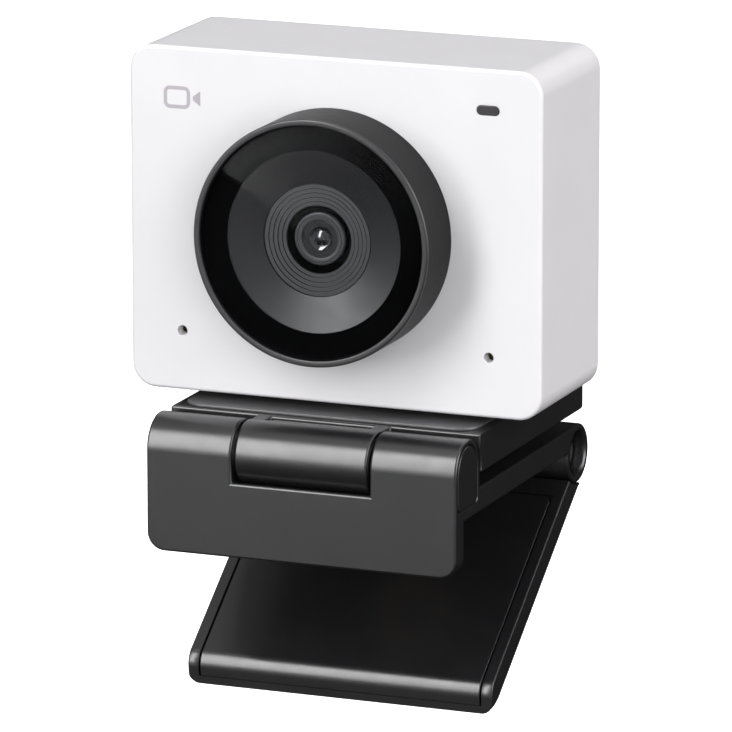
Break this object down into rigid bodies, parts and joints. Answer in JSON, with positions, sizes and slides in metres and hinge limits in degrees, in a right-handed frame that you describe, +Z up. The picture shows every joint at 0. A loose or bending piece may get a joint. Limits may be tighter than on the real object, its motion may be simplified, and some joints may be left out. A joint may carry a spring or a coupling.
{
  "type": "monitor webcam",
  "caption": "Box-shaped USB camera head with a short round lens tube, on a swivel and tilt base with a folding clip that grips the top edge of a monitor",
  "frame": {"origin": "On the rubber pad under the clip's shelf, in the middle of the clip's width, where the clip rests on the monitor's top edge", "axes": "X to the right of someone facing the lens, Y to the rear, away from the lens, Z up"},
  "size_m": [0.06, 0.0517, 0.0899],
  "materials": {
    "clip_plastic": "black satin moulded plastic",
    "grip_rubber": "matte black rubber",
    "insert_brass": "turned brass",
    "pin_steel": "plain steel",
    "washer_nylon": "dark nylon",
    "head_white": "white satin plastic with a faint cool tint",
    "tube_dark": "dark grey satin anodised aluminium",
    "inner_black": "matt black plastic",
    "cover_glass": "clear polished glass",
    "mask_black": "black gloss ring behind the glass",
    "cone_grey": "dark grey satin plastic",
    "lens_glass": "coated lens glass",
    "filter_glass": "pale cyan filter glass",
    "chip_dark": "moulded chip package",
    "board_green": "green solder mask",
    "connector_cream": "cream moulded plastic",
    "thermal_grey": "soft grey pad",
    "spreader_aluminium": "plain aluminium",
    "mic_can": "gold-plated metal can",
    "window_smoke": "smoked clear plastic"
  },
  "bodies": {
    "clip": {"clip_shelf": "clip_plastic", "clip_front": "clip_plastic", "lip_pad": "grip_rubber", "shelf_pad": "grip_rubber", "tripod_insert": "insert_brass", "front_hinge_pin": "pin_steel", "hinge_end_caps": "clip_plastic", "front_washers": "pin_steel", "rear_hinge_pin": "pin_steel", "rear_hinge_nut": "pin_steel", "rear_washers": "pin_steel"},
    "leg": {"leg": "clip_plastic", "leg_pad": "grip_rubber"},
    "base": {"base_block": "clip_plastic", "block_cover": "clip_plastic"},
    "head": {"head_screw": "pin_steel", "swivel_washer": "washer_nylon", "swivel_ring": "washer_nylon", "head_insert": "insert_brass", "head_shell": "head_white", "rear_cover": "head_white", "cover_screws": "pin_steel", "lens_bezel": "tube_dark", "bezel_nut": "inner_black", "cover_glass": "cover_glass", "mask_ring": "mask_black", "lens_cone": "cone_grey", "lens_barrel": "inner_black", "lens_front_element": "lens_glass", "lens_mid_element": "lens_glass", "lens_rear_element": "lens_glass", "lens_spacers": "inner_black", "lens_retainer": "inner_black", "lens_holder": "inner_black", "ir_filter": "filter_glass", "image_sensor": "chip_dark", "sensor_board": "board_green", "board_spacers": "pin_steel", "board_connector": "connector_cream", "main_board": "board_green", "board_screws": "pin_steel", "processor": "chip_dark", "thermal_pad": "thermal_grey", "heat_spreader": "spreader_aluminium", "usb_shell": "pin_steel", "usb_tongue": "inner_black", "microphones": "mic_can", "mic_gaskets": "grip_rubber", "mic_boards": "board_green", "status_window": "window_smoke", "status_led": "connector_cream", "status_board": "board_green"}
  },
  "joints": [
    {"name": "leg_fold", "type": "hinge", "parent": "clip", "child": "leg", "pos_m": [0, 0.02445, -0.0004], "axis": [1, 0, 0], "range_deg": [-31, 144]},
    {"name": "base_tilt", "type": "hinge", "parent": "clip", "child": "base", "pos_m": [0, -0.0186, 0.00685], "axis": [1, 0, 0], "range_deg": [0, 90]},
    {"name": "head_pan", "type": "hinge", "parent": "base", "child": "head", "pos_m": [0, 0.0008, 0.012], "axis": [0, 0, 1], "range_deg": [-170, 170]}
  ]
}
